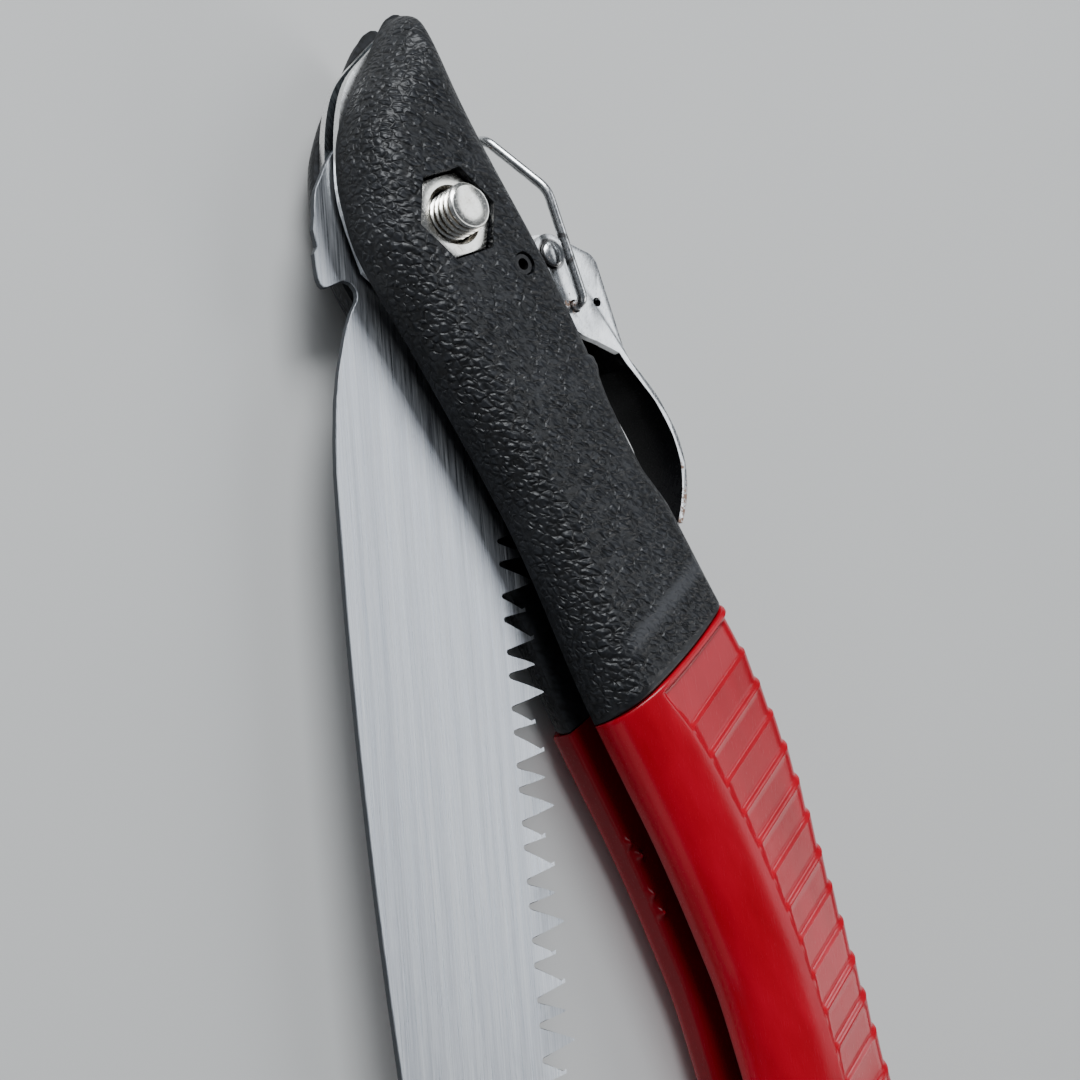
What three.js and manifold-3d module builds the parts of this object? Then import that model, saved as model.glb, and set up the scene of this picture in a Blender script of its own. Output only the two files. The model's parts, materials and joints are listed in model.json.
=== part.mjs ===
// Folding pruning saw, in millimetres, +Z up.
// The saw lies on the side of its bolt head, with the blade part way out of the handle.
// The origin is on the blade's pivot axis, on the bolt head's flat face, in the plane the saw rests on.
// +X runs from the pivot along the handle, and +Y points to the handle's back, where the lock lever is.
import * as THREE from 'three';
import { mergeVertices } from 'three/addons/utils/BufferGeometryUtils.js';
import Module from 'manifold-3d';

const wasm = await Module();
wasm.setup();

// ---- Driving dimensions ----
const HANDLE_HALF_THICKNESS = 12;
const TOUCHING_GAP = 0.3;
const PLATE_GAP = 0.15;

const BLADE_THICKNESS = 1.2;
const BLADE_ANGLE = THREE.MathUtils.degToRad(-27.5);
const SPINE_OFFSET = -19;
const SPINE_FLAT_END = 50;
const SPINE_CURVATURE = 0.000565;
const BLADE_LENGTH = 243;

const TOOTH_PAIR_PITCH = 9;
const TOOTH_PAIR_COUNT = 21;
const FIRST_GULLET = 44.7;
const GULLET_HEIGHT = 10.7;
const GULLET_HALF_WIDTH = 0.3;
const TALL_TIP_HEIGHT = 17.2;
const SHORT_TIP_HEIGHT = 15.85;

const TANG_WAIST_RADIUS = 11.5;
const TANG_ARC_RADIUS = 19.3;
const TANG_SHOULDER_RADIUS = 19;
const TANG_SHOULDER_ANGLE = 36;
const TANG_STOP_ANGLE = 224;

const WASHER_THICKNESS = 0.4;
const WASHER_RADIUS = 10.5;
const LINER_THICKNESS = 1.5;

const BOLT_RADIUS = 4;
const BOLT_END_HEIGHT = 15;
const BOLT_END_CHAMFER = 0.5;
const BOLT_HEAD_HEIGHT = 5.3;
const NUT_HEIGHT = 5.3;
const HEX_ACROSS_CORNERS = 15;
const HEX_TURN = THREE.MathUtils.degToRad(-4.7);
const NUT_TOP = 10.6;
const POCKET_GAP = 0.5;
const BUSH_WALL = 1.7;

const STOP_PIN = { x: 11.6, y: 8.3, radius: 1.7, bore: 1 };

const RIVET = { x: 11.9, y: 20.4, radius: 1.6 };
const LEVER_HALF_WIDTH = 5.2;
const LEVER_SHEET = 1.3;
const LEVER_EAR_RADIUS = 3.6;
const LEVER_SMALL_HOLE = { x: 22.3, y: 25, radius: 0.8 };
const RIVET_COLLAR_RADIUS = 3.1;
const RIVET_HEAD_RADIUS = 2.3;
const RIVET_HEAD_HEIGHT = 0.9;

const WIRE_RADIUS = 0.85;
const WIRE_HOLE = { x: 21.3, y: 20.1 };
const WIRE_KNEE = { x: 2, y: 23.8 };
const WIRE_NOSE = { x: -10.2, y: 21.3, halfWidth: 1.9 };
const WIRE_BEND = 1.8;

const HANDLE_EDGE = { size: 3.4, thickness: 5.5 };
const SEAM = { x: 79.2, lean: -0.212 };

const SCREW = { radius: 1.3, headRadius: 2.8, headHeight: 2, top: 8.5, bossRadius: 3.2 };
const SCREW_PLACES = {
  cover_screw: [61, 12],
  grip_screw_front: [92, 11.2],
  grip_screw_middle: [136, 3.6],
  grip_screw_rear: [180, -5.6],
  grip_screw_tail: [247, -29.5],
};

// ---- Heights above the blade's middle plane, worked out from the dimensions above ----
const halfBlade = BLADE_THICKNESS / 2;
const washerInner = halfBlade + PLATE_GAP;
const washerOuter = washerInner + WASHER_THICKNESS;
const linerInner = washerOuter + PLATE_GAP;
const linerOuter = linerInner + LINER_THICKNESS;
const shellInner = linerOuter + TOUCHING_GAP;
const cheekInner = LEVER_HALF_WIDTH - LEVER_SHEET;
const wireHeight = LEVER_HALF_WIDTH + RIVET_HEAD_HEIGHT + 2 * TOUCHING_GAP + WIRE_RADIUS;
const bushRadius = BOLT_RADIUS + TOUCHING_GAP + BUSH_WALL;
const nutBottom = NUT_TOP - NUT_HEIGHT;
const headTop = BOLT_HEAD_HEIGHT - HANDLE_HALF_THICKNESS;

// ---- Materials ----
const finishes = {
  steel: { color: 0xb9bfc4, metalness: 0.95, roughness: 0.35 },
  zinc: { color: 0xc9c5b8, metalness: 0.9, roughness: 0.3 },
  blackPlastic: { color: 0x1b1c1e, metalness: 0, roughness: 0.55 },
  redPlastic: { color: 0xb01020, metalness: 0, roughness: 0.3 },
  darkPlastic: { color: 0x111214, metalness: 0, roughness: 0.6 },
  blackSteel: { color: 0x1a1a1b, metalness: 0.8, roughness: 0.4 },
};

// ---- Solids: closed geometry to and from the boolean library ----
function toSolid(geometry) {
  const bare = geometry.clone();
  bare.deleteAttribute('normal');
  bare.deleteAttribute('uv');
  const merged = mergeVertices(bare, 1e-4);
  return new wasm.Manifold(new wasm.Mesh({
    numProp: 3,
    vertProperties: new Float32Array(merged.attributes.position.array),
    triVerts: new Uint32Array(merged.index.array),
  }));
}

function toGeometry(solid) {
  const mesh = solid.getMesh();
  const geometry = new THREE.BufferGeometry();
  geometry.setAttribute('position', new THREE.BufferAttribute(new Float32Array(mesh.vertProperties), 3));
  geometry.setIndex(new THREE.BufferAttribute(new Uint32Array(mesh.triVerts), 1));
  geometry.computeVertexNormals();
  return geometry;
}

function cut(body, ...tools) {
  return tools.reduce((left, tool) => left.subtract(toSolid(tool)), body);
}

// ---- Plain geometry between two heights ----
// The outline as straight steps, without a last point that falls on the first.
function stepped(shape, curveSegments) {
  const points = shape.getPoints(curveSegments);
  const shortest = 0.01;
  const kept = points.filter((point, index) => index === 0 || point.distanceTo(points[index - 1]) > shortest);
  if (kept[0].distanceTo(kept[kept.length - 1]) < shortest) {
    kept.pop();
  }
  return new THREE.Shape(kept);
}

function slab(shape, low, high, curveSegments = 6) {
  const outline = stepped(shape, curveSegments);
  const geometry = new THREE.ExtrudeGeometry(outline, { depth: high - low, bevelEnabled: false });
  return geometry.translate(0, 0, low);
}

function rod(radius, low, high, x = 0, y = 0, sides = 32) {
  const geometry = new THREE.CylinderGeometry(radius, radius, high - low, sides);
  return geometry.rotateX(Math.PI / 2).translate(x, y, (low + high) / 2);
}

function hexagon(acrossCorners, low, high) {
  return rod(acrossCorners / 2, low, high, 0, 0, 6).rotateZ(HEX_TURN);
}

// A turned piece: profile points are [radius, height].
function turned(profile, x = 0, y = 0, sides = 28) {
  const points = profile.map(([radius, height]) => new THREE.Vector2(radius, height));
  const geometry = new THREE.LatheGeometry(points, sides);
  return geometry.rotateX(Math.PI / 2).translate(x, y, 0);
}

function ring(inner, outer, low, high, x = 0, y = 0) {
  return turned([[inner, low], [outer, low], [outer, high], [inner, high], [inner, low]], x, y);
}

function polar(radius, degrees) {
  const angle = THREE.MathUtils.degToRad(degrees);
  return new THREE.Vector2(radius * Math.cos(angle), radius * Math.sin(angle));
}

function vectors(pairs) {
  return pairs.map(([x, y]) => new THREE.Vector2(x, y));
}

// ---- Blade, in its own frame: u runs along it from the pivot, v towards the teeth ----
function addGullet(shape, middle) {
  shape.lineTo(middle - GULLET_HALF_WIDTH, GULLET_HEIGHT);
  shape.lineTo(middle + GULLET_HALF_WIDTH, GULLET_HEIGHT);
}

// Tall and short teeth take turns.
function addTeeth(shape) {
  for (let pair = 0; pair < TOOTH_PAIR_COUNT; pair += 1) {
    const start = FIRST_GULLET + pair * TOOTH_PAIR_PITCH;
    addGullet(shape, start);
    shape.lineTo(start + 2.4, TALL_TIP_HEIGHT);
    addGullet(shape, start + 5.2);
    shape.lineTo(start + 7, SHORT_TIP_HEIGHT);
  }
  addGullet(shape, FIRST_GULLET + TOOTH_PAIR_COUNT * TOOTH_PAIR_PITCH);
}

function spineHeight(u) {
  return SPINE_OFFSET + SPINE_CURVATURE * (u - SPINE_FLAT_END) ** 2;
}

function addSpine(shape) {
  const stepCount = 14;
  const start = BLADE_LENGTH - 5;
  for (let step = 0; step <= stepCount; step += 1) {
    const u = start + (SPINE_FLAT_END - start) * (step / stepCount);
    shape.lineTo(u, spineHeight(u));
  }
  shape.splineThru(vectors([[41.5, -19], [28, -17.8], [21.2, -16.2], [15, -14.1]]));
}

function addTang(shape) {
  // The notch takes the bail's nose when the blade is open, and the hook beside it holds it there.
  shape.splineThru(vectors([[13.6, -13.3], [12.1, -12.8], [10.7, -13.1], [9.9, -14.4], [10.2, -15.8]]));
  shape.lineTo(11.4, -18.2);
  shape.lineTo(10, -19.9);
  shape.splineThru([new THREE.Vector2(6.1, -20.2), polar(19.7, 265), polar(TANG_ARC_RADIUS, 244),
    polar(TANG_ARC_RADIUS, TANG_STOP_ANGLE)]);
  // The waist clears the stop pin between its two shoulders.
  const waistSteps = 16;
  for (let step = 0; step <= waistSteps; step += 1) {
    const angle = TANG_STOP_ANGLE + (TANG_SHOULDER_ANGLE - TANG_STOP_ANGLE) * (step / waistSteps);
    const point = polar(TANG_WAIST_RADIUS, angle);
    shape.lineTo(point.x, point.y);
  }
}

function bladeShape() {
  const shape = new THREE.Shape();
  const shoulder = polar(TANG_SHOULDER_RADIUS, TANG_SHOULDER_ANGLE);
  shape.moveTo(shoulder.x, shoulder.y);
  shape.lineTo(24, 13.6);
  shape.lineTo(42, 14);
  addTeeth(shape);
  shape.lineTo(236, 15.8);
  shape.quadraticCurveTo(BLADE_LENGTH, 13, BLADE_LENGTH, 7);
  shape.quadraticCurveTo(BLADE_LENGTH, 3, BLADE_LENGTH - 3, 2);
  addSpine(shape);
  addTang(shape);
  return shape;
}

function sawBlade() {
  const plate = toSolid(slab(bladeShape(), -halfBlade, halfBlade, 3));
  return toGeometry(cut(plate, rod(bushRadius + TOUCHING_GAP, -2, 2)));
}

// ---- Handle outlines, seen from +Z ----
function handleShape() {
  const shape = new THREE.Shape();
  // Back, from the tail to the nose.
  shape.moveTo(243, -14.2);
  shape.splineThru(vectors([[200, -4.8], [157, 5.2], [125, 12.2], [97, 17.2], [84, 17.6], [72, 16.9],
    [56, 16.4]]));
  shape.quadraticCurveTo(51, 14.4, 44, 14.4);
  shape.quadraticCurveTo(36, 14.4, 31, 15.8);
  shape.lineTo(2, 15.6);
  shape.lineTo(-16, 15.8);
  shape.lineTo(-27, 16);
  shape.quadraticCurveTo(-35, 16.2, -33.7, 11.6);
  // Front, from the nose to the tail.
  shape.splineThru(vectors([[-29, 4.8], [-23.2, -3.8], [-17, -9.8], [-9.3, -13.7], [0, -15.6],
    [17, -14.2], [49, -12.6], [82.4, -14.6], [98.6, -14.6], [126, -16.3], [141, -19.2], [157, -23.6],
    [185, -31], [215, -37.2], [238, -42.5]]));
  shape.quadraticCurveTo(250, -45, 252.5, -35);
  shape.lineTo(253.5, -25);
  shape.quadraticCurveTo(253, -16.5, 243, -14.2);
  return shape;
}

// Everything in front of the seam between cover and grip, or everything behind it.
function seamShape(end, gap) {
  const reach = 60;
  return new THREE.Shape(vectors([[SEAM.x + SEAM.lean * reach + gap, reach], [end, reach], [end, -reach],
    [SEAM.x - SEAM.lean * reach + gap, -reach]]));
}

function linerShape() {
  const shape = new THREE.Shape();
  shape.moveTo(2, -14.9);
  shape.quadraticCurveTo(14, -7, 40, -5);
  shape.lineTo(41, 9);
  shape.lineTo(24, 12.5);
  shape.lineTo(16, 19);
  shape.absarc(RIVET.x, RIVET.y, 4.2, 0, Math.PI, false);
  shape.lineTo(5, 15.2);
  shape.lineTo(-28, 15.4);
  shape.quadraticCurveTo(-33, 15.4, -32.3, 12.6);
  // The plates stand proud of the covers below the nose.
  shape.splineThru(vectors([[-30.2, 6.8], [-27.3, -0.1], [-22.9, -4.9], [-16.6, -9.2], [-9, -13],
    [2, -14.9]]));
  return shape;
}

function spacerShape() {
  const shape = new THREE.Shape();
  shape.moveTo(54, 14);
  shape.lineTo(54, 11.4);
  shape.splineThru(vectors([[75, 12], [97, 12.2], [125, 7.4], [157, 0.2], [200, -9.9], [243.4, -19.6]]));
  shape.lineTo(243.4, -41);
  shape.lineTo(247, -40.5);
  shape.lineTo(250.5, -34);
  shape.lineTo(251.5, -25);
  shape.lineTo(243, -16.2);
  shape.splineThru(vectors([[200, -6.6], [157, 3.4], [125, 10.4], [97, 15.6], [75, 15.2], [54, 14]]));
  return shape;
}

// ---- Handle pieces; side is 1 for the nut's side and -1 for the bolt head's ----
function between(side, near, far) {
  return side > 0 ? [near, far] : [-far, -near];
}

function liner(side) {
  const plate = toSolid(slab(linerShape(), ...between(side, linerInner, linerOuter), 4));
  return toGeometry(cut(plate,
    rod(BOLT_RADIUS + TOUCHING_GAP, -5, 5),
    rod(STOP_PIN.radius + TOUCHING_GAP, -5, 5, STOP_PIN.x, STOP_PIN.y),
    rod(RIVET.radius + TOUCHING_GAP, -5, 5, RIVET.x, RIVET.y)));
}

function distanceToOutline(point, outline) {
  const nearest = new THREE.Vector3();
  const spot = new THREE.Vector3(point.x, point.y, 0);
  const distances = outline.map((start, index) => {
    const end = outline[(index + 1) % outline.length];
    const edge = new THREE.Line3(new THREE.Vector3(start.x, start.y, 0), new THREE.Vector3(end.x, end.y, 0));
    return edge.closestPointToPoint(spot, true, nearest).distanceTo(spot);
  });
  return Math.min(...distances);
}

// A counterclockwise outline moved inwards; points that would land too near another edge are dropped.
function inset(outline, distance) {
  const moved = outline.map((point, index) => {
    const before = outline[(index + outline.length - 1) % outline.length];
    const after = outline[(index + 1) % outline.length];
    const along = after.clone().sub(before).normalize();
    return new THREE.Vector2(point.x - along.y * distance, point.y + along.x * distance);
  });
  return moved.filter((point) => distanceToOutline(point, outline) > distance * 0.97);
}

// The whole handle as one body with rounded edges.
function handleBlank() {
  const core = inset(stepped(handleShape(), 3).getPoints(), HANDLE_EDGE.size);
  const blank = new THREE.ExtrudeGeometry(new THREE.Shape(core), {
    depth: 2 * (HANDLE_HALF_THICKNESS - HANDLE_EDGE.thickness),
    bevelThickness: HANDLE_EDGE.thickness,
    bevelSize: HANDLE_EDGE.size,
    bevelSegments: 4,
  });
  return toSolid(blank.translate(0, 0, HANDLE_EDGE.thickness - HANDLE_HALF_THICKNESS));
}

// The part of the handle on one side of the slot and on one side of the seam.
function handlePiece(side, region) {
  const keep = slab(region, ...between(side, shellInner, HANDLE_HALF_THICKNESS + 1));
  return handleBlank().intersect(toSolid(keep));
}

function hexPocket(side) {
  const pocket = HEX_ACROSS_CORNERS + 2 * POCKET_GAP;
  return side > 0
    ? hexagon(pocket, nutBottom - TOUCHING_GAP, HANDLE_HALF_THICKNESS + 2)
    : hexagon(pocket, -HANDLE_HALF_THICKNESS - 2, headTop + TOUCHING_GAP);
}

// On the bolt head's side a screw passes through and its head is sunk; on the nut's side its hole is blind.
function screwHole([x, y]) {
  const radius = SCREW.radius + TOUCHING_GAP;
  return rod(radius, -HANDLE_HALF_THICKNESS - 2, SCREW.top + TOUCHING_GAP, x, y, 20);
}

function screwSink([x, y]) {
  const top = SCREW.headHeight + 2 * TOUCHING_GAP - HANDLE_HALF_THICKNESS;
  return rod(SCREW.headRadius + TOUCHING_GAP, -HANDLE_HALF_THICKNESS - 2, top, x, y, 24);
}

function frontCover(side) {
  return toGeometry(cut(handlePiece(side, seamShape(-60, -TOUCHING_GAP)),
    rod(BOLT_RADIUS + TOUCHING_GAP, -20, 20),
    hexPocket(side),
    rod(STOP_PIN.radius + TOUCHING_GAP, -20, 20, STOP_PIN.x, STOP_PIN.y),
    screwHole(SCREW_PLACES.cover_screw),
    screwSink(SCREW_PLACES.cover_screw)));
}

function gripShell(side) {
  const places = Object.entries(SCREW_PLACES).filter(([name]) => name.startsWith('grip'));
  const holes = places.flatMap(([, place]) => [screwHole(place), screwSink(place)]);
  return toGeometry(cut(handlePiece(side, seamShape(300, 0)), ...holes));
}

function spineSpacer() {
  const strip = toSolid(slab(spacerShape(), -linerOuter, linerOuter, 3));
  const bosses = Object.values(SCREW_PLACES).map(
    ([x, y]) => toSolid(rod(SCREW.bossRadius, -linerOuter, linerOuter, x, y, 24)),
  );
  const joined = bosses.reduce((body, boss) => body.add(boss), strip);
  return toGeometry(cut(joined, ...Object.values(SCREW_PLACES).map(screwHole)));
}

function screw([x, y]) {
  const bottom = -HANDLE_HALF_THICKNESS + TOUCHING_GAP;
  const neck = bottom + SCREW.headHeight;
  return turned([[0, bottom], [SCREW.headRadius, bottom], [SCREW.headRadius, neck], [SCREW.radius, neck],
    [SCREW.radius, SCREW.top - 1.5], [0, SCREW.top]], x, y, 20);
}

// ---- Pivot ----
function washer(side) {
  return ring(bushRadius + TOUCHING_GAP, WASHER_RADIUS, ...between(side, washerInner, washerOuter));
}

function pivotBush() {
  return ring(BOLT_RADIUS + TOUCHING_GAP, bushRadius, -linerInner + PLATE_GAP, linerInner - PLATE_GAP);
}

function pivotBolt() {
  const shank = turned([[0, headTop - 1], [BOLT_RADIUS, headTop - 1],
    [BOLT_RADIUS, BOLT_END_HEIGHT - BOLT_END_CHAMFER],
    [BOLT_RADIUS - BOLT_END_CHAMFER, BOLT_END_HEIGHT], [0, BOLT_END_HEIGHT]]);
  const head = hexagon(HEX_ACROSS_CORNERS, -HANDLE_HALF_THICKNESS, headTop);
  return toGeometry(toSolid(head).add(toSolid(shank)));
}

function pivotNut() {
  const body = toSolid(hexagon(HEX_ACROSS_CORNERS, nutBottom, NUT_TOP));
  return toGeometry(cut(body, rod(BOLT_RADIUS + TOUCHING_GAP, 0, 20)));
}

function stopPin() {
  const end = HANDLE_HALF_THICKNESS - 1;
  return ring(STOP_PIN.bore, STOP_PIN.radius, -end, end, STOP_PIN.x, STOP_PIN.y);
}

// ---- Lock lever, its rivet and the wire bail ----
function leverRivet() {
  const headFoot = LEVER_HALF_WIDTH + TOUCHING_GAP;
  const collarFoot = linerOuter + TOUCHING_GAP;
  const collarTop = cheekInner - TOUCHING_GAP;
  const halfProfile = [
    [RIVET.radius, collarFoot], [RIVET_COLLAR_RADIUS, collarFoot], [RIVET_COLLAR_RADIUS, collarTop],
    [RIVET.radius, collarTop], [RIVET.radius, headFoot], [RIVET_HEAD_RADIUS, headFoot],
    [RIVET_HEAD_RADIUS * 0.75, headFoot + RIVET_HEAD_HEIGHT * 0.75], [0, headFoot + RIVET_HEAD_HEIGHT],
  ];
  const mirrored = halfProfile.map(([radius, height]) => [radius, -height]).reverse();
  return turned([...mirrored, ...halfProfile], RIVET.x, RIVET.y);
}

// The lever seen from its side: two cheeks round the rivet under a web, and then the thumb leaf.
function leverShape() {
  const shape = new THREE.Shape();
  shape.moveTo(61.8, 20.2);
  shape.splineThru(vectors([[59.4, 22.8], [56.5, 25.2], [52.2, 27.4], [47, 28.4], [42, 28.2], [37, 27.1],
    [33, 25.9]]));
  shape.lineTo(31, 25.9);
  shape.lineTo(16.4, 28.9);
  shape.quadraticCurveTo(14.6, 28.9, 13.6, 27.4);
  shape.lineTo(10, 23.6);
  shape.absarc(RIVET.x, RIVET.y, LEVER_EAR_RADIUS,
    THREE.MathUtils.degToRad(125), THREE.MathUtils.degToRad(270), false);
  shape.lineTo(22, 16.8);
  shape.quadraticCurveTo(25.5, 17.4, 28, 21);
  shape.lineTo(31.5, 24.4);
  shape.lineTo(33.4, 24.4);
  shape.splineThru(vectors([[37.5, 25.7], [42.2, 26.8], [47, 27], [51.8, 26], [55.6, 24], [58.4, 21.7],
    [60.8, 19.2]]));
  shape.closePath();
  return shape;
}

// The space between the cheeks, under the web and open at the front and below.
function channelShape() {
  const shape = new THREE.Shape();
  shape.moveTo(0, 10);
  shape.lineTo(31, 10);
  shape.lineTo(31, 24.5);
  shape.lineTo(16.2, 27.5);
  shape.lineTo(0, 27.5);
  shape.closePath();
  return shape;
}

function lockLever() {
  const body = toSolid(slab(leverShape(), -LEVER_HALF_WIDTH, LEVER_HALF_WIDTH, 5));
  return toGeometry(cut(body,
    slab(channelShape(), -cheekInner, cheekInner),
    rod(RIVET.radius + TOUCHING_GAP, -10, 10, RIVET.x, RIVET.y),
    rod(WIRE_RADIUS + TOUCHING_GAP, -10, 10, WIRE_HOLE.x, WIRE_HOLE.y, 20),
    rod(LEVER_SMALL_HOLE.radius, -10, 10, LEVER_SMALL_HOLE.x, LEVER_SMALL_HOLE.y, 16)));
}

// A path of straight runs joined by bends.
function bentPath(corners, bend) {
  const path = new THREE.CurvePath();
  let from = corners[0];
  for (let index = 1; index < corners.length - 1; index += 1) {
    const corner = corners[index];
    const before = corner.clone().lerp(corners[index - 1], bend / corner.distanceTo(corners[index - 1]));
    const after = corner.clone().lerp(corners[index + 1], bend / corner.distanceTo(corners[index + 1]));
    path.add(new THREE.LineCurve3(from, before));
    path.add(new THREE.QuadraticBezierCurve3(before, corner, after));
    from = after;
  }
  path.add(new THREE.LineCurve3(from, corners[corners.length - 1]));
  return path;
}

// The bail: its ends turn in through the lever's cheeks, and its legs close in to a narrow nose.
function wireBail() {
  const leg = [
    new THREE.Vector3(WIRE_HOLE.x, WIRE_HOLE.y, cheekInner - 1),
    new THREE.Vector3(WIRE_HOLE.x, WIRE_HOLE.y, wireHeight),
    new THREE.Vector3(WIRE_KNEE.x, WIRE_KNEE.y, wireHeight),
    new THREE.Vector3(WIRE_NOSE.x, WIRE_NOSE.y, WIRE_NOSE.halfWidth),
  ];
  const otherLeg = leg.map((point) => new THREE.Vector3(point.x, point.y, -point.z)).reverse();
  const section = new THREE.Shape().absarc(0, 0, WIRE_RADIUS, 0, 2 * Math.PI, false);
  return new THREE.ExtrudeGeometry(section, {
    steps: 72,
    curveSegments: 4,
    extrudePath: bentPath([...leg, ...otherLeg], WIRE_BEND),
    bevelEnabled: false,
  });
}

// ---- Assembly ----
const saw = new THREE.Group();
saw.position.z = HANDLE_HALF_THICKNESS;

function addPiece(name, geometry, finish) {
  const mesh = new THREE.Mesh(geometry, new THREE.MeshStandardMaterial(finishes[finish]));
  mesh.name = name;
  saw.add(mesh);
  return mesh;
}

addPiece('saw_blade', sawBlade(), 'steel').rotation.z = BLADE_ANGLE;

for (const [prefix, side] of [['nut_side', 1], ['head_side', -1]]) {
  addPiece(`${prefix}_liner`, liner(side), 'steel');
  addPiece(`${prefix}_washer`, washer(side), 'zinc');
  addPiece(`${prefix}_cover`, frontCover(side), 'blackPlastic');
  addPiece(`${prefix}_grip`, gripShell(side), 'redPlastic');
}

addPiece('pivot_bush', pivotBush(), 'zinc');
addPiece('pivot_bolt', pivotBolt(), 'zinc');
addPiece('pivot_nut', pivotNut(), 'zinc');
addPiece('stop_pin', stopPin(), 'blackSteel');
addPiece('spine_spacer', spineSpacer(), 'darkPlastic');
addPiece('lever_rivet', leverRivet(), 'zinc');
addPiece('lock_lever', lockLever(), 'steel');
addPiece('wire_bail', wireBail(), 'steel');

for (const [name, place] of Object.entries(SCREW_PLACES)) {
  addPiece(name, screw(place), 'zinc');
}

export default saw;
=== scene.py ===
"""Looks of a folding pruning saw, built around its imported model. Shapes are worked out in millimetres."""

import json
import math
from functools import cached_property

import bmesh
import bpy
import numpy as np
from mathutils import Matrix, Vector


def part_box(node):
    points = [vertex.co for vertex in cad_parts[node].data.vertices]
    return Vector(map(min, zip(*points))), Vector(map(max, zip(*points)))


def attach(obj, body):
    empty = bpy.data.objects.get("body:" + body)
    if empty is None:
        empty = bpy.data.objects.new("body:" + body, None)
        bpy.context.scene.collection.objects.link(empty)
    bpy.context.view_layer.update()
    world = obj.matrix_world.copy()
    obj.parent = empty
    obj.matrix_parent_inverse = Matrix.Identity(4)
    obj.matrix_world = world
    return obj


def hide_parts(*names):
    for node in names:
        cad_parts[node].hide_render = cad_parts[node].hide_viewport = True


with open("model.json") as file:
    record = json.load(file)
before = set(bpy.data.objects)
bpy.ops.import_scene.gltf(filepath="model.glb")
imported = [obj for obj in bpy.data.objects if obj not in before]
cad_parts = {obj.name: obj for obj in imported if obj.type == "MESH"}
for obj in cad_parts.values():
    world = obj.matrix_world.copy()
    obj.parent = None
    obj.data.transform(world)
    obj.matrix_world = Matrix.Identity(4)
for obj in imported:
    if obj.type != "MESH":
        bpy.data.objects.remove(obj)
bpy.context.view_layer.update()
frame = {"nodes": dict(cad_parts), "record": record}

MM = 0.001
BLADE_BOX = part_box("saw_blade")
MIDDLE = (BLADE_BOX[0][2] + BLADE_BOX[1][2]) / 2 / MM

# ---- Handle: side 1 is the nut's and side -1 the bolt head's; a round or roll is (size across, depth) ----
HALF_THICKNESS = 12
HALF_WIDTH = 15
SHELL_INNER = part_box("nut_side_cover")[0][2] / MM - MIDDLE
NOSE_X = -34.1
TAIL_X = 252.9
TAIL_ROUND_X = 243
SEAM_X = 79.2
SEAM_LEAN = -0.212
SEAM_BOW = 0.8
SEAM_GAP = 0.15
FRONT_EDGE = [
    (NOSE_X, 13.5), (-33.9, 12.2), (-32.7, 9.9), (-29, 4.6), (-23.2, -3.9), (-17, -9.9), (-9.3, -13.7),
    (0, -15.6), (17, -14.2), (49, -12.6), (82.4, -14.6), (98.6, -14.6), (126, -16.3), (141, -19.2),
    (157, -23.6), (185, -31), (215, -37.2), (238, -42.3), (245, -43), (249, -41.5), (251.6, -38),
    (252.8, -34), (TAIL_X, -30)]
BACK_EDGE = [
    (NOSE_X, 13.8), (-33.8, 14.8), (-32.8, 15.5), (-31, 15.9), (-28, 15.95), (-16, 15.8), (2, 15.6),
    (20, 15.5), (28.6, 15.2), (29.3, 15.9), (31.4, 15.9), (34, 15), (38, 14.5), (44, 14.4), (49, 14.5),
    (53, 15.4), (57, 16.3), (72, 16.9), (84, 17.5), (97, 17.1), (125, 12.1), (157, 5.1), (200, -4.9),
    (243, -14.4), (247.5, -16), (251, -19), (252.8, -22.5), (TAIL_X, -26)]
THINNEST_WALL = 0.4
CLEARANCE = 0.3
CUTTER_REACH = (2.5, 20)  # from within the slot to outside the handle

# ---- Front covers: their rounds are given at the nose and past it ----
COVER_INSET = 0.25
COVER_CROWN = 0.9
COVER_FRONT_ROUNDS = ((9, 8.8), (7.5, 6.5))
COVER_BACK_ROUNDS = ((7.5, 8.8), (4.5, 5.4))
COVER_ROLL = (0.7, 0.5)
NOSE_SPAN = (-20, 14)
SWAGE_X = 71.3
SWAGE_LEAN = 0.25
SWAGE_WIDTH = 1.6
SWAGE_HEIGHT = 0.22
SWAGE_FADES = ((-12, -6), (8, 12))  # from y to y, where it starts and where it ends

# ---- Grip: sawtooth panels along the back, which end at a crease along the middle ----
RIB_START = 88.2
RIB_PITCH = 5.6
RIB_COUNT = 14
RIB_LEAN = -0.304
RIB_DEPTH = 0.75
RISER_WIDTH = 1.0
CREASE = [(76, -6.5), (82.7, -5.3), (88.8, -3.9), (96.5, -2.9), (110, -2.2), (125, -2.9), (140, -5.2),
          (152, -7.6), (170, -12.2), (200, -20), (230, -26.5), (TAIL_X, -28)]
COLUMNS_BEFORE_CREASE = 40
CREASE_GROOVE = (0.35, 0.22)  # half width, depth
CREASE_RIDGE = 0.35
PANEL_RIM = 0.35
BACK_NOTCH = 0.45  # how far a panel's foot lies inside the back edge
PALM_X = 190
PALM_LENGTH = 40
PALM_HOLLOW = 0.8
GRIP_INSET = 0.35
GRIP_ROLL = (0.8, 0.5)
GRIP_FRONT_ROUNDS = {1: (11.5, 7.5), -1: (8, 5)}
GRIP_BACK_ROUND = (4.5, 6)
SLOT_LIP = (2.2, 1.2)
FLASH_PLACES = [(102.8, -14.0), (105.5, -13.3), (112, -14.4), (115.4, -14.3)]
FLASH_SIZE = (0.7, 0.5, 1.0)  # spread along x, spread along y, height

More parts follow.
